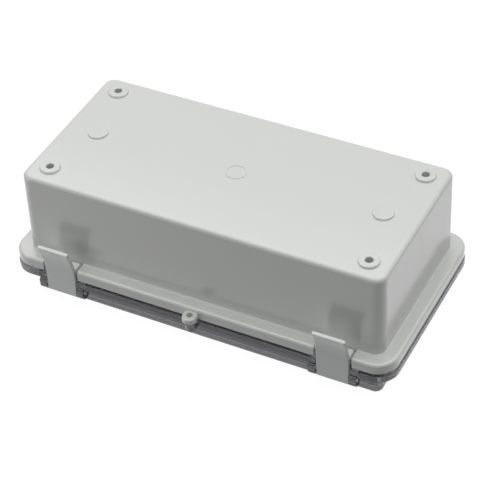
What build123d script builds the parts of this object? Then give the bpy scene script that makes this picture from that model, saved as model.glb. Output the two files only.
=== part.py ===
from build123d import *
import os

# Waterproof junction box, lying face down on its clear lid. Millimetres, +Z up.
# The origin is the middle of the box at the level of the lid's face.
# The latches are on the front, at -Y, and the hinges on the rear, at +Y.

# Outline and heights
rim_length = 200.0
rim_width = 100.4
rim_corner_radius = 10.8
rim_ledge = 6.6
rim_height = 5.9
lid_height = 19.0
seam_gap = 1.1
shell_height = 50.7

# Walls of the base shell
wall = 2.5
back_wall = 2.8
wall_draft = 0.4
wall_corner_radius = 5.8
back_edge_radius = 2.4
cavity_edge_radius = 2.0
rim_edge_radius = 1.5
rim_lower_edge_radius = 0.7
rim_root_radius = 0.3

# Bosses, pads and gate ring on the back face
back_hole_inset_x = 11.4
back_hole_inset_y = 10.9
back_hole_radius = 1.9
back_hole_depth = 10.0
back_hole_chamfer = 0.3
ring_boss_radius = 5.1
ring_boss_height = 1.2
ring_boss_edge_radius = 0.8
corner_post_radius = 4.4
corner_post_height = 11.0
pad_inset = 18.6
pad_radius = 5.1
pad_height = 0.9
pad_edge_radius = 0.4
gate_ring_radius = 5.3
gate_ring_width = 0.9
gate_ring_height = 0.3
gate_ring_edge_radius = 0.15

# Gasket channel under the rim, and the lid's rib that presses on the gasket
channel_outer_wall = 3.5
channel_depth = 2.1
gasket_thickness = 1.5
gasket_side_clearance = 0.15
rib_thickness = 1.2
rib_outer_clearance = 0.5

# Notches in the rim for the latches and the hinge brackets
station_inset = 28.2
notch_width = 19.0
notch_depth = 1.75
hook_thickness = 2.0

# Lid
lid_face = 2.8
lid_wall = 2.5
tray_inset = 7.8
tray_corner_radius = 4.0
tray_edge_radius = 2.2
tray_inner_edge_radius = 1.2
flange_proud = 0.3
flange_thickness = 3.7
flange_edge_radius = 0.35
ear_thickness = 3.4
ear_radius = 3.5
ear_side_gap = 0.35

# Latches and hinge brackets
latch_width = 16.4
latch_thickness = 1.8
latch_proud = 0.5
latch_tip_rise = 12.9
latch_flare = 4.4
latch_bend_rise = 1.3
latch_edge_radius = 0.6
latch_foot_radius = 0.8
latch_tip_radius = 0.7
barrel_radius = 2.7
pivot_drop = 7.1
hook_lift = 0.1
hook_wall_gap = 0.35
hook_root_radius = 0.8
hook_nose_radius = 0.5
bracket_tip_rise = 2.3
bracket_nib_length = 1.2
bracket_nib_height = 0.6
bracket_nib_clearance = 0.1
bracket_lip_length = 1.6
bracket_lip_thickness = 0.8

# Pins
pin_radius = 1.25
pin_running_clearance = 0.06
pin_seat_clearance = 0.02
pin_end_recess = 0.3
pin_chamfer = 0.25

# Seal eyes, one on the rim and one on the lid
seal_eye_reach = 2.4
seal_eye_radius = 3.8
seal_eye_thickness = 2.9
seal_eye_rise = 4.0
seal_eye_edge_radius = 1.1
seal_hole_radius = 1.5
lid_eye_radius = 2.5
lid_eye_thickness = 3.5
lid_eye_root = 2.0

# Mounting plate with its posts, inserts and screws
plate_thickness = 1.5
plate_post_height = 8.0
plate_post_radius = 4.2
plate_post_gap = 4.0
plate_wall_gap = 4.0
plate_corner_radius = 4.0
plate_screw_inset = 8.0
plate_hole_clearance = 0.3
plate_grid_pitch = 12.0
plate_grid_hole_radius = 1.6
plate_grid_margin = 15.0
insert_radius = 2.8
insert_length = 6.0
insert_seat_depth = 7.0
insert_seat_clearance = 0.02
insert_chamfer = 0.3
screw_radius = 2.0
screw_length = 7.0
screw_tip_chamfer = 0.25
screw_thread_clearance = 0.05
screw_head_radius = 3.8
screw_head_height = 2.4
screw_head_edge_radius = 1.0
recess_length = 4.2
recess_width = 0.9
recess_depth = 1.3

# Levels
rim_bottom = lid_height + seam_gap
rim_top = rim_bottom + rim_height
back_level = rim_bottom + shell_height
back_inside = back_level - back_wall
ledge_level = rim_top - hook_thickness
channel_top = rim_bottom + channel_depth
rib_top = channel_top - gasket_thickness
flange_bottom = lid_height - flange_thickness
post_end = back_inside - plate_post_height
plate_bottom = post_end - plate_thickness
boss_root = back_level - back_wall / 2
ring_boss_top = back_level + ring_boss_height
pad_top = back_level + pad_height
gate_ring_top = back_level + gate_ring_height
seal_eye_top = rim_bottom + seal_eye_rise
seal_eye_bottom = seal_eye_top - seal_eye_thickness
pivot_level = lid_height - pivot_drop
bend_level = lid_height + latch_bend_rise
screw_head_bottom = plate_bottom - screw_head_height
screw_tip = plate_bottom + screw_length
insert_end = post_end + insert_length

# Half sizes of the outlines
rim_x = rim_length / 2
rim_y = rim_width / 2
wall_x = rim_x - rim_ledge
wall_y = rim_y - rim_ledge
tray_x = rim_x - tray_inset
tray_y = rim_y - tray_inset

# Places along and across the box
station_x = rim_x - station_inset
ledge_face_y = rim_y - notch_depth
plate_face_y = rim_y + latch_proud
pivot_y = plate_face_y - barrel_radius
ear_gap = latch_width / 2 + ear_side_gap
back_hole_x = wall_x - back_hole_inset_x
back_hole_y = wall_y - back_hole_inset_y
plate_x = back_hole_x - corner_post_radius - plate_post_gap
plate_y = wall_y - wall - plate_wall_gap
plate_screw_x = plate_x - plate_screw_inset
plate_screw_y = plate_y - plate_screw_inset
seal_eye_y = -(rim_y + seal_eye_reach)
ear_root_y = tray_y - lid_wall / 2
root_edge_limit = rim_ledge / 4

sides = {"left": -1, "right": 1}
corners = [(-1, -1), (1, -1), (-1, 1), (1, 1)]
beyond = 5.0
tolerance = 0.001


# A solid with a rounded rectangular outline between two levels
def slab(half_x, half_y, radius, bottom, top, taper=0.0):
    outline = Pos(0, 0, bottom) * RectangleRounded(2 * half_x, 2 * half_y, radius)
    return extrude(outline, amount=top - bottom, taper=taper)


# A plain block given by its limits along each axis
def block(x_limits, y_limits, z_limits):
    size = [limits[1] - limits[0] for limits in (x_limits, y_limits, z_limits)]
    middle = [(limits[1] + limits[0]) / 2 for limits in (x_limits, y_limits, z_limits)]
    return Pos(*middle) * Box(*size)


# An upright cylinder between two levels
def post(x, y, radius, bottom, top):
    return Pos(x, y, (bottom + top) / 2) * Cylinder(radius, top - bottom)


# A cylinder along X, centred on the pivot line of the front
def pivot_rod(x, radius, length):
    return Pos(x, -pivot_y, pivot_level) * Rot(0, 90, 0) * Cylinder(radius, length)


# The edges that lie flat at one level
def edges_at(shape, level):
    return shape.edges().filter_by(
        lambda edge: abs(edge.bounding_box().min.Z - level) < tolerance
        and abs(edge.bounding_box().max.Z - level) < tolerance
    )


# The same shape on the rear side
def on_rear(shape):
    return mirror(shape, about=Plane.XZ)


# The four places along the long sides: two latches in front, two hinges behind
def at_stations(make_front_shape):
    front = [make_front_shape(side * station_x) for side in sides.values()]
    return front + [on_rear(shape) for shape in front]


def wall_solid():
    solid = slab(wall_x, wall_y, wall_corner_radius, rim_bottom, back_level, wall_draft)
    return fillet(edges_at(solid, back_level), back_edge_radius)


def cavity_solid():
    inside = slab(
        wall_x - wall, wall_y - wall, wall_corner_radius - wall, rim_bottom, back_inside, wall_draft
    )
    inside = fillet(edges_at(inside, back_inside), cavity_edge_radius)
    mouth = slab(
        wall_x - wall, wall_y - wall, wall_corner_radius - wall, rim_bottom - beyond, rim_bottom
    )
    return inside + mouth


def rim_solid():
    rim = slab(rim_x, rim_y, rim_corner_radius, rim_bottom, rim_top)
    rim = fillet(edges_at(rim, rim_top), rim_edge_radius)
    return fillet(edges_at(rim, rim_bottom), rim_lower_edge_radius)


# The notch is cut through the rim's outer edge, and its inner part only down to the ledge
def rim_notch(x):
    x_limits = (x - notch_width / 2, x + notch_width / 2)
    through = block(x_limits, (-rim_y - beyond, -ledge_face_y), (rim_bottom - beyond, rim_top + beyond))
    above_ledge = block(x_limits, (-rim_y - beyond, -wall_y + wall), (ledge_level, rim_top + beyond))
    return through + above_ledge


# Groove in the rear ledges for the nib of the hinge bracket
def nib_groove(x):
    reach = wall_y + hook_wall_gap + bracket_nib_length + bracket_nib_clearance
    return on_rear(
        block(
            (x - notch_width / 2, x + notch_width / 2),
            (-reach, -wall_y),
            (ledge_level - bracket_nib_height - bracket_nib_clearance, ledge_level + beyond),
        )
    )


def gasket_ring(side_clearance, bottom, top):
    channel_wall = channel_outer_wall + side_clearance
    outer = slab(
        rim_x - channel_wall, rim_y - channel_wall, rim_corner_radius - channel_wall, bottom, top
    )
    inner = slab(
        wall_x + side_clearance,
        wall_y + side_clearance,
        wall_corner_radius + side_clearance,
        bottom - beyond,
        top + beyond,
    )
    return outer - inner


# A round boss on the back face, with its outer edge rounded
def round_boss(x, y, radius, top, edge_radius):
    boss = post(x, y, radius, boss_root, top)
    return fillet(edges_at(boss, top), edge_radius)


# The places of something that stands at all four corners
def at_corners(x, y):
    return [(sign_x * x, sign_y * y) for sign_x, sign_y in corners]


def back_face_bosses():
    bosses = []
    for x, y in at_corners(back_hole_x, back_hole_y):
        bosses.append(round_boss(x, y, ring_boss_radius, ring_boss_top, ring_boss_edge_radius))
        bosses.append(post(x, y, corner_post_radius, back_inside - corner_post_height, boss_root))
    for x, y in at_corners(plate_screw_x, plate_screw_y):
        bosses.append(post(x, y, plate_post_radius, post_end, boss_root))
    for side in sides.values():
        bosses.append(round_boss(side * (wall_x - pad_inset), 0, pad_radius, pad_top, pad_edge_radius))
    return bosses


# Low ring round the point where the plastic entered the mould
def gate_ring():
    ring = post(0, 0, gate_ring_radius, back_level, gate_ring_top)
    ring -= post(0, 0, gate_ring_radius - gate_ring_width, back_level - beyond, gate_ring_top + beyond)
    return fillet(edges_at(ring, gate_ring_top), gate_ring_edge_radius)


def back_face_holes():
    holes = []
    for x, y in at_corners(back_hole_x, back_hole_y):
        holes.append(
            post(x, y, back_hole_radius, ring_boss_top - back_hole_depth, ring_boss_top + beyond)
        )
        cone = Cone(back_hole_radius, back_hole_radius + back_hole_chamfer, back_hole_chamfer)
        holes.append(Pos(x, y, ring_boss_top - back_hole_chamfer / 2) * cone)
    seat_radius = insert_radius + insert_seat_clearance
    for x, y in at_corners(plate_screw_x, plate_screw_y):
        holes.append(post(x, y, seat_radius, post_end - beyond, post_end + insert_seat_depth))
    return holes


# The eye of the rim is a rounded disc that sinks into the rim's side
def rim_eye():
    eye = post(0, seal_eye_y, seal_eye_radius, seal_eye_bottom, seal_eye_top)
    return fillet(edges_at(eye, seal_eye_top), seal_eye_edge_radius)


# The eye of the lid is a lug that reaches back into the flange
def lid_eye():
    bottom = lid_height - lid_eye_thickness
    x_limits = (-lid_eye_radius, lid_eye_radius)
    neck = block(x_limits, (seal_eye_y, -rim_y + lid_eye_root), (bottom, lid_height))
    return post(0, seal_eye_y, lid_eye_radius, bottom, lid_height) + neck


def seal_hole():
    return post(0, seal_eye_y, seal_hole_radius, flange_bottom - beyond, rim_top + beyond)


# The edges where the walls stand on the rim
def wall_root_edges(shell):
    limit_x = wall_x + root_edge_limit
    limit_y = wall_y + root_edge_limit
    near = edges_at(shell, rim_top).filter_by(
        lambda edge: edge.bounding_box().max.X < limit_x and edge.bounding_box().max.Y < limit_y
    )
    return near.filter_by(
        lambda edge: edge.bounding_box().min.X > -limit_x and edge.bounding_box().min.Y > -limit_y
    )


def make_base_shell():
    walls = wall_solid()
    shell = rim_solid() + walls
    shell = fillet(wall_root_edges(shell), rim_root_radius)
    for notch in at_stations(rim_notch):
        shell -= notch - walls
    shell += rim_eye()
    shell -= cavity_solid()
    shell -= gasket_ring(0, rim_bottom - beyond, channel_top)
    for side in sides.values():
        shell -= nib_groove(side * station_x) - walls
    for boss in back_face_bosses():
        shell += boss
    shell += gate_ring()
    for hole in back_face_holes():
        shell -= hole
    return shell - seal_hole()


# One ear of the lid: a web down from the flange that ends in a round eye for the pin
def lid_ear(x):
    x_limits = (x - ear_thickness / 2, x + ear_thickness / 2)
    web = block(x_limits, (-pivot_y - ear_radius, -ear_root_y), (pivot_level, flange_bottom))
    upper = block(x_limits, (-rim_y, -ear_root_y), (flange_bottom, lid_height))
    return web + upper + pivot_rod(x, ear_radius, ear_thickness)


def ear_pair(x):
    offset = ear_gap + ear_thickness / 2
    return lid_ear(x - offset) + lid_ear(x + offset)


# Room between the ears for the latch or the bracket
def flange_notch(x):
    x_limits = (x - ear_gap, x + ear_gap)
    plate_room = plate_face_y - latch_thickness - hook_wall_gap
    return block(x_limits, (-rim_y - beyond, -plate_room), (flange_bottom - beyond, lid_height + beyond))


def make_lid():
    lid = slab(
        rim_x + flange_proud, rim_y + flange_proud, rim_corner_radius + flange_proud, flange_bottom, lid_height
    )
    lid = fillet(edges_at(lid, lid_height), flange_edge_radius)
    lid = fillet(edges_at(lid, flange_bottom), flange_edge_radius)
    tray = slab(tray_x, tray_y, tray_corner_radius, 0, lid_height)
    lid += fillet(edges_at(tray, 0), tray_edge_radius)
    rib_outset = channel_outer_wall + rib_outer_clearance
    rib = slab(rim_x - rib_outset, rim_y - rib_outset, rim_corner_radius - rib_outset, lid_height, rib_top)
    rib_inset = rib_outset + rib_thickness
    rib -= slab(
        rim_x - rib_inset, rim_y - rib_inset, rim_corner_radius - rib_inset, lid_height, rib_top
    )
    lid += rib
    for ears in at_stations(ear_pair):
        lid += ears
    for notch in at_stations(flange_notch):
        lid -= notch
    lid += lid_eye()
    inside = slab(
        tray_x - lid_wall, tray_y - lid_wall, tray_corner_radius - lid_wall, lid_face, lid_height + beyond
    )
    lid -= fillet(edges_at(inside, lid_face), tray_inner_edge_radius)
    lid -= seal_hole()
    for bore in at_stations(ear_bore):
        lid -= bore
    return lid


def ear_bore(x):
    return pivot_rod(x, pin_radius + pin_seat_clearance, 2 * (ear_gap + ear_thickness) + beyond)


def make_gasket():
    return gasket_ring(gasket_side_clearance, rib_top, channel_top)


# Side view of a latch or bracket in front: plate with barrel and hook, as (y, z) points
def clip_profile(tip_level, flare):
    outer = -plate_face_y
    inner = outer + latch_thickness
    rise = tip_level - bend_level
    # the flared part is one arc, so its chord leans half as much as its end
    chord_length = (rise**2 + flare**2) ** 0.5
    lean_sin = 2 * rise * flare / chord_length**2
    lean_cos = (rise**2 - flare**2) / chord_length**2
    outer_tip = (outer - flare, tip_level)
    inner_tip = (outer_tip[0] + latch_thickness * lean_cos, tip_level + latch_thickness * lean_sin)
    if flare > 0:
        outer_side = TangentArc((outer, bend_level), outer_tip, tangent=(0, 1))
        inner_side = TangentArc((inner, bend_level), inner_tip, tangent=(0, 1))
    else:
        outer_side = Line((outer, bend_level), outer_tip)
        inner_side = Line((inner, bend_level), inner_tip)
    plate = make_face(
        [
            Line((inner, pivot_level), (outer, pivot_level)),
            Line((outer, pivot_level), (outer, bend_level)),
            outer_side,
            Line(outer_tip, inner_tip),
            inner_side,
            Line((inner, bend_level), (inner, pivot_level)),
        ]
    )
    barrel = Pos(-pivot_y, pivot_level) * Circle(barrel_radius)
    foot_place = Pos(-pivot_y - barrel_radius / 2, pivot_level - barrel_radius / 2)
    profile = plate + barrel + foot_place * Rectangle(barrel_radius, barrel_radius)
    foot_corner = min(profile.vertices(), key=lambda vertex: vertex.X + vertex.Y)
    profile = fillet(foot_corner, latch_foot_radius)
    if flare > 0:
        tip_corner = max(profile.vertices(), key=lambda vertex: vertex.Y - vertex.X)
        profile = fillet(tip_corner, latch_tip_radius)
    return profile


# The hook reaches over the ledge, and its upper edge at the wall is rounded
def hook_block(lift):
    nose = -wall_y - hook_wall_gap
    hook = block(
        (-latch_width / 2, latch_width / 2),
        (-plate_face_y + latch_thickness / 2, nose),
        (ledge_level + lift, rim_top),
    )
    upper_edge = edges_at(hook, rim_top).filter_by(
        lambda edge: edge.bounding_box().min.Y > nose - tolerance
    )
    return fillet(upper_edge, hook_nose_radius)


def clip_body(tip_level, flare, lift):
    body = extrude(Plane.YZ * clip_profile(tip_level, flare), amount=latch_width / 2, both=True)
    side_edges = body.edges().filter_by(lambda edge: edge.bounding_box().size.X < tolerance)
    body = fillet(side_edges, latch_edge_radius) + hook_block(lift)
    hook_root = edges_at(body, rim_top).filter_by(
        lambda edge: edge.bounding_box().size.X > latch_width / 2
        and edge.bounding_box().max.Y < -ledge_face_y
    )
    body = fillet(hook_root, hook_root_radius)
    return body - pivot_rod(0, pin_radius + pin_running_clearance, latch_width + beyond)


def make_latch():
    return clip_body(rim_top + latch_tip_rise, latch_flare, hook_lift)


def make_bracket():
    bracket = clip_body(rim_top + bracket_tip_rise, 0, 0)
    x_limits = (-latch_width / 2, latch_width / 2)
    nib_end = -wall_y - hook_wall_gap
    bracket += block(
        x_limits, (nib_end - bracket_nib_length, nib_end), (ledge_level - bracket_nib_height, rim_top)
    )
    plate_inside = -plate_face_y + latch_thickness
    bracket += block(
        x_limits,
        (plate_inside - latch_thickness / 2, plate_inside + bracket_lip_length),
        (rim_bottom - bracket_lip_thickness, rim_bottom),
    )
    return on_rear(bracket)


def make_pin():
    length = 2 * (ear_gap + ear_thickness - pin_end_recess)
    pin = pivot_rod(0, pin_radius, length)
    return chamfer(pin.edges().filter_by(GeomType.CIRCLE), pin_chamfer)


def make_plate():
    plate = slab(plate_x, plate_y, plate_corner_radius, plate_bottom, post_end)
    for x, y in at_corners(plate_screw_x, plate_screw_y):
        hole_radius = screw_radius + plate_hole_clearance
        plate -= post(x, y, hole_radius, plate_bottom - beyond, post_end + beyond)
    columns = int((plate_x - plate_grid_margin) // plate_grid_pitch)
    rows = int((plate_y - plate_grid_margin) // plate_grid_pitch)
    for column in range(-columns, columns + 1):
        for row in range(-rows, rows + 1):
            plate -= post(
                column * plate_grid_pitch,
                row * plate_grid_pitch,
                plate_grid_hole_radius,
                plate_bottom - beyond,
                post_end + beyond,
            )
    return plate


def make_screw(x, y):
    head = post(x, y, screw_head_radius, screw_head_bottom, plate_bottom)
    head = fillet(edges_at(head, screw_head_bottom), screw_head_edge_radius)
    screw = head + post(x, y, screw_radius, plate_bottom, screw_tip)
    screw = chamfer(edges_at(screw, screw_tip), screw_tip_chamfer)
    recess_level = screw_head_bottom + recess_depth / 2
    slot = Box(recess_length, recess_width, recess_depth)
    for angle in (0, 90):
        screw -= Pos(x, y, recess_level) * Rot(0, 0, angle) * slot
    return screw


def make_insert(x, y):
    insert = post(x, y, insert_radius, post_end, insert_end)
    insert = chamfer(edges_at(insert, insert_end), insert_chamfer)
    bore_radius = screw_radius + screw_thread_clearance
    return insert - post(x, y, bore_radius, post_end - beyond, insert_end + beyond)


# The same fastener at the four plate posts
def at_plate_posts(make_fastener):
    places = at_corners(plate_screw_x, plate_screw_y)
    return Compound([make_fastener(x, y).solid() for x, y in places])


nodes = {
    "base_shell": make_base_shell(),
    "lid": make_lid(),
    "seal_gasket": make_gasket(),
    "mounting_plate": make_plate(),
    "plate_screws": at_plate_posts(make_screw),
    "plate_inserts": at_plate_posts(make_insert),
}
latch = make_latch()
bracket = make_bracket()
pin = make_pin()
for side_name, side_sign in sides.items():
    station = Pos(side_sign * station_x, 0, 0)
    nodes["latch_" + side_name] = station * latch
    nodes["latch_pin_" + side_name] = station * pin
    nodes["hinge_bracket_" + side_name] = station * bracket
    nodes["hinge_pin_" + side_name] = station * on_rear(pin)

os.makedirs("parts", exist_ok=True)
for node_name, shape in nodes.items():
    export_step(shape, "parts/" + node_name + ".step")
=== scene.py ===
import math

import bmesh
import bpy
from mathutils import Matrix, Vector


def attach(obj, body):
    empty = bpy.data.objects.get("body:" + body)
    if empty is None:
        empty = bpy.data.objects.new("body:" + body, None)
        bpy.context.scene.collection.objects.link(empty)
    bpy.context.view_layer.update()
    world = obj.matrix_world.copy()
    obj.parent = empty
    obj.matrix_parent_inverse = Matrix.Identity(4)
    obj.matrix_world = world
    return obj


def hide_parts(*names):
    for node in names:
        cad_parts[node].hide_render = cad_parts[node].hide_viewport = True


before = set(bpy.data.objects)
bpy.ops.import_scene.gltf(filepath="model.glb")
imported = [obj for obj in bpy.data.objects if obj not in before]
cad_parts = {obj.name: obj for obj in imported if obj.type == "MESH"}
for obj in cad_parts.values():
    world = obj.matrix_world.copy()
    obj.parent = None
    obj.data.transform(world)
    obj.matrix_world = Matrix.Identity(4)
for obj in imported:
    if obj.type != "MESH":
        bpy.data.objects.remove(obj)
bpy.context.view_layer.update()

print("frame loaded:", len(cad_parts), "nodes")

# Camera: azimuth 0 looks along +Y, and angles are in degrees
cameraView = {
    "azimuth": 28.657,
    "elevation": 40.832,
    "roll": -3.074,
    "distance": 0.866835,
    "target": (0.00407, -0.0073, 0.0358),
    "lens": 136.24,
    "sensor": 36.0,
}


def placeCamera(view):
    azimuth = math.radians(view["azimuth"])
    elevation = math.radians(view["elevation"])
    roll = math.radians(view["roll"])
    back = Vector((
        math.sin(azimuth) * math.cos(elevation),
        -math.cos(azimuth) * math.cos(elevation),
        math.sin(elevation),
    ))
    across = Vector((0, 0, 1)).cross(back).normalized()
    upward = back.cross(across)
    turnedAcross = across * math.cos(roll) + upward * math.sin(roll)
    turnedUpward = upward * math.cos(roll) - across * math.sin(roll)
    cameraData = bpy.data.cameras.new("viewCamera")
    cameraData.lens = view["lens"]
    cameraData.sensor_width = view["sensor"]
    cameraData.sensor_fit = "HORIZONTAL"
    camera = bpy.data.objects.new("viewCamera", cameraData)
    turn = Matrix((turnedAcross, turnedUpward, back)).transposed().to_4x4()
    place = Vector(view["target"]) + back * view["distance"]
    camera.matrix_world = Matrix.Translation(place) @ turn
    bpy.context.scene.collection.objects.link(camera)
    bpy.context.scene.camera = camera


placeCamera(cameraView)
print("camera placed")


def put(tree, kind, sockets=None, **settings):
    node = tree.nodes.new("ShaderNode" + kind)
    for name, value in settings.items():
        setattr(node, name, value)
    for name, value in (sockets or {}).items():
        if isinstance(value, bpy.types.NodeSocket):
            tree.links.new(value, node.inputs[name])
        else:
            node.inputs[name].default_value = value
    return node


def work(tree, operation, first, second=0.0, third=0.0):
    node = put(tree, "Math", {0: first, 1: second, 2: third}, operation=operation)
    return node.outputs[0]


def spread(tree, value, low, high, newLow=0.0, newHigh=1.0):
    node = put(tree, "MapRange", {
        "Value": value, "From Min": low, "From Max": high, "To Min": newLow, "To Max": newHigh,
    })
    return node.outputs["Result"]


def tint(tree, mask, first, second):
    node = put(tree, "Mix", data_type="RGBA")
    tree.links.new(mask, node.inputs[0])
    for index, value in ((6, first), (7, second)):
        if isinstance(value, bpy.types.NodeSocket):
            tree.links.new(value, node.inputs[index])
        else:
            node.inputs[index].default_value = (*value, 1.0)
    return node.outputs[2]


def noise(tree, place, scale, detail=2.0, roughness=0.5, distortion=0.0):
    node = put(tree, "TexNoise", {
        "Vector": place, "Scale": scale, "Detail": detail, "Roughness": roughness,
        "Distortion": distortion,
    })
    return node.outputs["Fac"]


def objectPlace(tree, stretch=(1.0, 1.0, 1.0)):
    place = put(tree, "TexCoord").outputs["Object"]
    return put(tree, "Mapping", {"Vector": place, "Scale": stretch}).outputs["Vector"]


def makeGroup(name, inputs, outputs):
    tree = bpy.data.node_groups.new(name, "ShaderNodeTree")
    for socketName, value in inputs.items():
        socket = tree.interface.new_socket(
            name=socketName, in_out="INPUT", socket_type="NodeSocketFloat"
        )
        socket.default_value = value
    for socketName in outputs:
        tree.interface.new_socket(
            name=socketName, in_out="OUTPUT", socket_type="NodeSocketFloat"
        )
    return tree, tree.nodes.new("NodeGroupInput"), tree.nodes.new("NodeGroupOutput")


def useGroup(tree, group, **values):
    node = tree.nodes.new("ShaderNodeGroup")
    node.node_tree = group
    for name, value in values.items():
        node.inputs[name].default_value = value
    return node


# Moulded surface: the height of its fine grain, and a slow mottle from the melt's flow
mouldedGrainForm = {
    "inputs": {"grainScale": 2600.0, "flowScale": 22.0, "grainShare": 0.7, "waveShare": 0.2},
    "grainDetail": 3.0,
    "grainRoughness": 0.6,
    "flowStretch": (1.0, 1.6, 2.2),
    "flowDistortion": 0.2,
    "flowLow": 0.15,
    "flowHigh": 0.85,
}


def makeMouldedGrain(form):
    tree, given, result = makeGroup("mouldedGrain", form["inputs"], ["height", "flow"])
    fine = noise(
        tree, objectPlace(tree), given.outputs["grainScale"], detail=form["grainDetail"],
        roughness=form["grainRoughness"],
    )
    waves = noise(
        tree, objectPlace(tree, form["flowStretch"]), given.outputs["flowScale"],
        distortion=form["flowDistortion"],
    )
    height = work(
        tree, "MULTIPLY_ADD", fine, given.outputs["grainShare"],
        work(tree, "MULTIPLY", waves, given.outputs["waveShare"]),
    )
    tree.links.new(height, result.inputs["height"])
    tree.links.new(spread(tree, waves, form["flowLow"], form["flowHigh"]), result.inputs["flow"])
    return tree


# Rubbed edges: where a rounded normal leaves the true one, in broken patches
edgeRubForm = {
    "inputs": {"reach": 0.0006, "breakScale": 260.0},
    "samples": 4,
    "flatLikeness": 0.98,
    "edgeLikeness": 0.80,
    "breakDetail": 4.0,
    "breakRoughness": 0.65,
    "breakLow": 0.40,
    "breakHigh": 0.62,
}


def makeEdgeRub(form):
    tree, given, result = makeGroup("edgeRub", form["inputs"], ["rub"])
    rounded = put(tree, "Bevel", {"Radius": given.outputs["reach"]}, samples=form["samples"])
    straight = put(tree, "NewGeometry")
    likeness = put(
        tree, "VectorMath", {0: rounded.outputs["Normal"], 1: straight.outputs["Normal"]},
        operation="DOT_PRODUCT",
    )
    edge = spread(
        tree, likeness.outputs["Value"], form["flatLikeness"], form["edgeLikeness"]
    )
    broken = noise(
        tree, objectPlace(tree), given.outputs["breakScale"], detail=form["breakDetail"],
        roughness=form["breakRoughness"],
    )
    patches = spread(tree, broken, form["breakLow"], form["breakHigh"])
    tree.links.new(work(tree, "MULTIPLY", edge, patches), result.inputs["rub"])
    return tree


# Faint smears that hands leave, also used for tarnish and dust
handlingMarksForm = {
    "inputs": {"smearScale": 38.0},
    "smearStretch": (1.0, 1.8, 1.0),
    "smearDetail": 3.0,
    "smearDistortion": 0.1,
    "smearLow": 0.22,
    "smearHigh": 0.80,
}


def makeHandlingMarks(form):
    tree, given, result = makeGroup("handlingMarks", form["inputs"], ["smears"])
    smears = noise(
        tree, objectPlace(tree, form["smearStretch"]), given.outputs["smearScale"],
        detail=form["smearDetail"], distortion=form["smearDistortion"],
    )
    tree.links.new(
        spread(tree, smears, form["smearLow"], form["smearHigh"]), result.inputs["smears"]
    )
    return tree


mouldedGrain = makeMouldedGrain(mouldedGrainForm)
edgeRub = makeEdgeRub(edgeRubForm)
handlingMarks = makeHandlingMarks(handlingMarksForm)


def startMaterial(name):
    material = bpy.data.materials.new(name)
    material.use_nodes = True
    tree = material.node_tree
    shader = tree.nodes["Principled BSDF"]
    return material, tree, shader


def bump(tree, shader, height, strength, distance):
    node = put(tree, "Bump", {"Height": height, "Strength": strength, "Distance": distance})
    tree.links.new(node.outputs["Normal"], shader.inputs["Normal"])


# Satin moulded plastic in light grey
def makePlastic(name, look):
    material, tree, shader = startMaterial(name)
    grain = useGroup(tree, mouldedGrain, grainScale=look["grainScale"], flowScale=look["flowScale"])
    rub = useGroup(tree, edgeRub, reach=look["rubReach"])
    marks = useGroup(tree, handlingMarks)
    flowed = tint(tree, grain.outputs["flow"], look["colour"], look["flowColour"])
    smeared = tint(
        tree, work(tree, "MULTIPLY", marks.outputs["smears"], look["smearDepth"]), flowed,
        look["smearColour"],
    )
    rubbed = tint(
        tree, work(tree, "MULTIPLY", rub.outputs["rub"], look["rubDepth"]), smeared,
        look["rubColour"],
    )
    tree.links.new(rubbed, shader.inputs["Base Color"])
    gloss = work(
        tree, "MULTIPLY_ADD", marks.outputs["smears"], look["smearGloss"], look["roughness"]
    )
    gloss = work(tree, "MULTIPLY_ADD", grain.outputs["flow"], look["flowGloss"], gloss)
    gloss = work(tree, "MULTIPLY_ADD", rub.outputs["rub"], look["rubGloss"], gloss)
    tree.links.new(gloss, shader.inputs["Roughness"])
    shader.inputs["IOR"].default_value = look["ior"]
    shader.inputs["Coat Weight"].default_value = look["skinWeight"]
    shader.inputs["Coat Roughness"].default_value = look["skinRoughness"]
    bump(tree, shader, grain.outputs["height"], look["bumpStrength"], look["bumpDistance"])
    return material


shellLook = {
    "colour": (0.668, 0.668, 0.645),
    "flowColour": (0.653, 0.654, 0.633),
    "smearColour": (0.560, 0.560, 0.540),
    "smearDepth": 0.05,
    "rubColour": (0.76, 0.76, 0.74),
    "rubDepth": 0.22,
    "roughness": 0.26,
    "smearGloss": 0.05,
    "flowGloss": 0.03,
    "rubGloss": 0.10,
    "ior": 1.52,
    "skinWeight": 0.85,
    "skinRoughness": 0.14,
    "grainScale": 2600.0,
    "flowScale": 22.0,
    "rubReach": 0.0006,
    "bumpStrength": 0.18,
    "bumpDistance": 0.0002,
}
latchLook = {
    **shellLook,
    "colour": (0.785, 0.797, 0.787),
    "flowColour": (0.768, 0.780, 0.771),
    "flowScale": 60.0,
    "rubDepth": 0.05,
    "skinWeight": 0.5,
}
shellPlastic = makePlastic("shellPlastic", shellLook)
latchPlastic = makePlastic("latchPlastic", latchLook)

# Clear polished plastic, with hairline scratches and a faint haze in its gloss. Its dark colour is
# painted shade: it stands in for the darkness seen through the lid.
# Its body is the share that bends light, and the rest lets light straight through.
clearLook = {
    # colour: a dark tint of painted shade, for the darkness seen through the clear lid
    "colour": (0.155, 0.155, 0.172),
    "body": 0.92,
    "roughness": 0.015,
    "haze": 0.03,
    "scratchScale": 240.0,
    "scratchStretch": (1.0, 14.0, 1.0),
    "scratchDetail": 4.0,
    "scratchRoughness": 0.7,
    "scratchLow": 0.62,
    "scratchHigh": 0.72,
    "ior": 1.58,
    "shadowColour": (0.55, 0.55, 0.58),
    "bumpStrength": 0.012,
    "bumpDistance": 0.0001,
}


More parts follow.
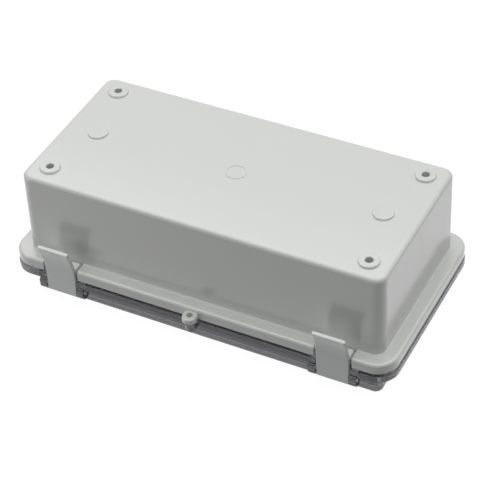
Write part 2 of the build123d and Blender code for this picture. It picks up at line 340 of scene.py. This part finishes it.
def makeClear(name, look):
    material, tree, shader = startMaterial(name)
    scratches = noise(
        tree, objectPlace(tree, look["scratchStretch"]), look["scratchScale"],
        detail=look["scratchDetail"], roughness=look["scratchRoughness"],
    )
    lines = spread(tree, scratches, look["scratchLow"], look["scratchHigh"])
    tree.links.new(
        work(tree, "MULTIPLY_ADD", lines, look["haze"], look["roughness"]),
        shader.inputs["Roughness"],
    )
    # The dark base colour is painted shade, standing in for the darkness seen through the lid
    shader.inputs["Base Color"].default_value = (*look["colour"], 1.0)
    shader.inputs["Transmission Weight"].default_value = 1.0
    shader.inputs["Alpha"].default_value = look["body"]
    shader.inputs["IOR"].default_value = look["ior"]
    bump(tree, shader, scratches, look["bumpStrength"], look["bumpDistance"])
    # Shadow rays pass straight through, so that the lamps reach what lies behind the lid
    passing = put(tree, "BsdfTransparent", {"Color": (*look["shadowColour"], 1.0)})
    rays = put(tree, "LightPath")
    mixed = put(tree, "MixShader")
    tree.links.new(rays.outputs["Is Shadow Ray"], mixed.inputs[0])
    tree.links.new(shader.outputs[0], mixed.inputs[1])
    tree.links.new(passing.outputs[0], mixed.inputs[2])
    tree.links.new(mixed.outputs[0], tree.nodes["Material Output"].inputs["Surface"])
    return material


clearLid = makeClear("clearLid", clearLook)


# Metal: its colour and gloss vary with a grain that can be stretched one way
def makeMetal(name, look):
    material, tree, shader = startMaterial(name)
    grain = noise(
        tree, objectPlace(tree, look["stretch"]), look["grainScale"],
        detail=look["grainDetail"], roughness=look["grainRoughness"],
    )
    rub = useGroup(tree, edgeRub, reach=look["rubReach"])
    marks = useGroup(tree, handlingMarks)
    toned = tint(
        tree, spread(tree, grain, look["grainLow"], look["grainHigh"]), look["colour"],
        look["darkColour"],
    )
    if "spangleScale" in look:
        cells = put(
            tree, "TexVoronoi", {"Vector": objectPlace(tree), "Scale": look["spangleScale"]}
        )
        shade = put(tree, "SeparateColor", {"Color": cells.outputs["Color"]}).outputs["Red"]
        toned = tint(
            tree, work(tree, "MULTIPLY", shade, look["spangleDepth"]), toned,
            look["spangleColour"],
        )
        spangled = work(tree, "MULTIPLY", shade, look["spangleShare"])
        grain = work(tree, "MULTIPLY_ADD", grain, 1.0 - look["spangleShare"], spangled)
    dulled = tint(
        tree, work(tree, "MULTIPLY", marks.outputs["smears"], look["tarnishDepth"]), toned,
        look["tarnishColour"],
    )
    rubbed = tint(
        tree, work(tree, "MULTIPLY", rub.outputs["rub"], look["rubDepth"]), dulled,
        look["rubColour"],
    )
    tree.links.new(rubbed, shader.inputs["Base Color"])
    gloss = work(tree, "MULTIPLY_ADD", grain, look["grainGloss"], look["roughness"])
    gloss = work(tree, "MULTIPLY_ADD", marks.outputs["smears"], look["tarnishGloss"], gloss)
    tree.links.new(gloss, shader.inputs["Roughness"])
    shader.inputs["Metallic"].default_value = 1.0
    bump(tree, shader, grain, look["bumpStrength"], look["bumpDistance"])
    return material


# Drawn pins, galvanised plate with spangles, plated screws and brass inserts
pinLook = {
    "colour": (0.62, 0.62, 0.61),
    "darkColour": (0.50, 0.50, 0.50),
    "tarnishColour": (0.36, 0.34, 0.31),
    "rubColour": (0.80, 0.80, 0.79),
    "rubDepth": 0.5,
    "stretch": (0.08, 1.0, 1.0),
    "grainScale": 3000.0,
    "grainDetail": 4.0,
    "grainRoughness": 0.6,
    "grainLow": 0.3,
    "grainHigh": 0.7,
    "roughness": 0.24,
    "grainGloss": 0.16,
    "tarnishDepth": 0.30,
    "tarnishGloss": 0.12,
    "rubReach": 0.0002,
    "bumpStrength": 0.15,
    "bumpDistance": 0.00005,
}
plateLook = {
    **pinLook,
    "colour": (0.60, 0.61, 0.62),
    "darkColour": (0.53, 0.54, 0.56),
    "tarnishColour": (0.44, 0.44, 0.43),
    "stretch": (1.0, 1.0, 1.0),
    "grainScale": 900.0,
    "spangleScale": 190.0,
    "spangleDepth": 0.40,
    "spangleShare": 0.5,
    "spangleColour": (0.74, 0.75, 0.77),
    "roughness": 0.30,
    "grainGloss": 0.22,
    "rubReach": 0.0003,
}
screwLook = {
    **pinLook,
    "colour": (0.66, 0.66, 0.64),
    "darkColour": (0.56, 0.56, 0.55),
    "stretch": (1.0, 1.0, 1.0),
    "grainScale": 1600.0,
}
brassLook = {
    **screwLook,
    "colour": (0.70, 0.52, 0.25),
    "darkColour": (0.58, 0.42, 0.18),
    "tarnishColour": (0.35, 0.24, 0.10),
    "rubColour": (0.86, 0.70, 0.40),
}
pinSteel = makeMetal("pinSteel", pinLook)
plateSteel = makeMetal("plateSteel", plateLook)
screwSteel = makeMetal("screwSteel", screwLook)
insertBrass = makeMetal("insertBrass", brassLook)

# Closed-cell foam rubber of the gasket, with painted shade darkening the hollows of its pores
foamLook = {
    "colour": (0.030, 0.030, 0.033),
    "poreShadeColour": (0.010, 0.010, 0.011),
    "dustColour": (0.16, 0.155, 0.15),
    "dustDepth": 0.35,
    "poreScale": 2400.0,
    "poreLow": 0.05,
    "poreHigh": 0.55,
    "roughness": 0.78,
    "poreGloss": 0.14,
    "bumpStrength": 0.55,
    "bumpDistance": 0.00018,
}


def makeFoam(name, look):
    material, tree, shader = startMaterial(name)
    cells = put(
        tree, "TexVoronoi", {"Vector": objectPlace(tree), "Scale": look["poreScale"]},
        feature="SMOOTH_F1",
    )
    pore = spread(tree, cells.outputs["Distance"], look["poreLow"], look["poreHigh"])
    marks = useGroup(tree, handlingMarks)
    # Painted shade: the pores' hollows get the darker colour
    body = tint(tree, pore, look["poreShadeColour"], look["colour"])
    dusted = tint(
        tree, work(tree, "MULTIPLY", marks.outputs["smears"], look["dustDepth"]), body,
        look["dustColour"],
    )
    tree.links.new(dusted, shader.inputs["Base Color"])
    tree.links.new(
        work(tree, "MULTIPLY_ADD", pore, look["poreGloss"], look["roughness"]),
        shader.inputs["Roughness"],
    )
    bump(tree, shader, pore, look["bumpStrength"], look["bumpDistance"])
    return material


gasketFoam = makeFoam("gasketFoam", foamLook)
print("materials made")

finishes = {
    "base_shell": shellPlastic,
    "lid": clearLid,
    "latch_left": latchPlastic,
    "latch_right": latchPlastic,
    "hinge_bracket_left": latchPlastic,
    "hinge_bracket_right": latchPlastic,
    "latch_pin_left": pinSteel,
    "latch_pin_right": pinSteel,
    "hinge_pin_left": pinSteel,
    "hinge_pin_right": pinSteel,
    "mounting_plate": plateSteel,
    "plate_screws": screwSteel,
    "plate_inserts": insertBrass,
}
for nodeName, finish in finishes.items():
    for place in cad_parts[nodeName].material_slots:
        place.material = finish
print("finishes on the CAD nodes")


# Foam gasket in the channel under the rim, with lengths in metres
gasketForm = {
    "halfLength": 0.09635,
    "halfWidth": 0.04655,
    "cornerRadius": 0.00715,
    "stripWidth": 0.0030,
    "bottom": 0.0207,
    "top": 0.0222,
    "cornerSegments": 14,
    "crownRadius": 0.0006,
    "crownSegments": 4,
    "cornerAngle": 60.0,
}


def meshObject(name, shape, material):
    mesh = bpy.data.meshes.new(name)
    shape.to_mesh(mesh)
    shape.free()
    mesh.materials.append(material)
    mesh.shade_smooth()
    piece = bpy.data.objects.new(name, mesh)
    bpy.context.scene.collection.objects.link(piece)
    return piece


def makeGasket(form):
    shape = bmesh.new()
    size = Matrix.Diagonal((form["halfLength"], form["halfWidth"], 1.0, 1.0))
    place = Matrix.Translation((0.0, 0.0, form["top"])) @ size
    made = bmesh.ops.create_grid(shape, x_segments=1, y_segments=1, size=1.0, matrix=place)
    bmesh.ops.bevel(
        shape, geom=made["verts"], offset=form["cornerRadius"], segments=form["cornerSegments"],
        affect="VERTICES", profile=0.5, material=-1,
    )
    middle = list(shape.faces)
    bmesh.ops.inset_region(
        shape, faces=middle, thickness=form["stripWidth"], use_even_offset=True, use_boundary=True,
    )
    bmesh.ops.delete(shape, geom=middle, context="FACES_ONLY")
    strip = list(shape.faces)
    rise = form["top"] - form["bottom"]
    grown = bmesh.ops.extrude_face_region(shape, geom=strip, use_keep_orig=True)
    lower = [item for item in grown["geom"] if isinstance(item, bmesh.types.BMVert)]
    bmesh.ops.translate(shape, verts=lower, vec=(0.0, 0.0, -rise))
    bmesh.ops.recalc_face_normals(shape, faces=shape.faces)
    cornerAngle = math.radians(form["cornerAngle"])
    corners = [edge for edge in shape.edges if edge.calc_face_angle(0.0) > cornerAngle]
    bmesh.ops.bevel(
        shape, geom=corners, offset=form["crownRadius"], segments=form["crownSegments"],
        affect="EDGES", profile=0.5, material=-1,
    )
    bmesh.ops.recalc_face_normals(shape, faces=shape.faces)
    return meshObject("foamGasket", shape, gasketFoam)


foamGasket = makeGasket(gasketForm)
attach(foamGasket, "base_body")
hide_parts("seal_gasket")
print("gasket made")


# Floor and world, white where they are seen
stageLook = {
    "floorSize": 12.0,
    "floorColour": (0.10, 0.10, 0.10),
    "floorLevel": -0.0002,
    "floorGlow": 0.97,
    "ambient": 0.12,
    "ambientColour": (0.86, 1.0, 0.98),
}


# Rays from the camera, off a gloss or through the lid: only they meet the white
def seenRay(tree):
    rays = put(tree, "LightPath").outputs
    seen = work(tree, "MAXIMUM", rays["Is Camera Ray"], rays["Is Glossy Ray"])
    return work(tree, "MAXIMUM", seen, rays["Is Transmission Ray"])


def makeFloor(look):
    shape = bmesh.new()
    place = Matrix.Translation((0.0, 0.0, look["floorLevel"]))
    bmesh.ops.create_grid(
        shape, x_segments=1, y_segments=1, size=look["floorSize"] / 2, matrix=place
    )
    material = bpy.data.materials.new("paleFloor")
    material.use_nodes = True
    tree = material.node_tree
    tree.nodes.remove(tree.nodes["Principled BSDF"])
    matt = put(tree, "BsdfDiffuse", {"Color": (*look["floorColour"], 1.0)})
    seen = work(tree, "MULTIPLY", seenRay(tree), look["floorGlow"])
    glow = put(tree, "Emission", {"Strength": seen})
    both = put(tree, "AddShader")
    tree.links.new(matt.outputs[0], both.inputs[0])
    tree.links.new(glow.outputs[0], both.inputs[1])
    tree.links.new(both.outputs[0], tree.nodes["Material Output"].inputs["Surface"])
    return meshObject("paleFloor", shape, material)


def lightWorld(look):
    world = bpy.data.worlds.new("studioWorld")
    world.use_nodes = True
    tree = world.node_tree
    background = tree.nodes["Background"]
    seen = seenRay(tree)
    colour = tint(tree, seen, look["ambientColour"], (1.0, 1.0, 1.0))
    tree.links.new(colour, background.inputs["Color"])
    strength = spread(tree, seen, 0.0, 1.0, look["ambient"], 1.0)
    tree.links.new(strength, background.inputs["Strength"])
    bpy.context.scene.world = world


# Lamps, with places and sizes in metres and power in watts
lamps = {
    "keyLamp": {
        "place": (-0.15, 0.14, 1.30),
        "aim": (-0.15, 0.14, 0.0),
        "size": 2.2,
        "power": 22.8,
    },
    "rightLamp": {
        "place": (1.10, 0.66, 0.60),
        "aim": (0.0, 0.0, 0.04),
        "size": 0.8,
        "power": 2.22,
    },
    "frontLamp": {
        "place": (-0.36, -0.33, 0.06),
        "aim": (0.0, 0.0, 0.04),
        "size": 0.12,
        "power": 0.235,
    },
}


def addLamp(name, values):
    data = bpy.data.lights.new(name, "AREA")
    data.shape = "SQUARE"
    data.size = values["size"]
    data.energy = values["power"]
    lamp = bpy.data.objects.new(name, data)
    place = Vector(values["place"])
    facing = (Vector(values["aim"]) - place).to_track_quat("-Z", "Y")
    lamp.matrix_world = Matrix.Translation(place) @ facing.to_matrix().to_4x4()
    bpy.context.scene.collection.objects.link(lamp)


makeFloor(stageLook)
lightWorld(stageLook)
for lampName, lampValues in lamps.items():
    addLamp(lampName, lampValues)
bpy.context.scene.view_settings.view_transform = "Standard"
print("floor, world and lamps ready")
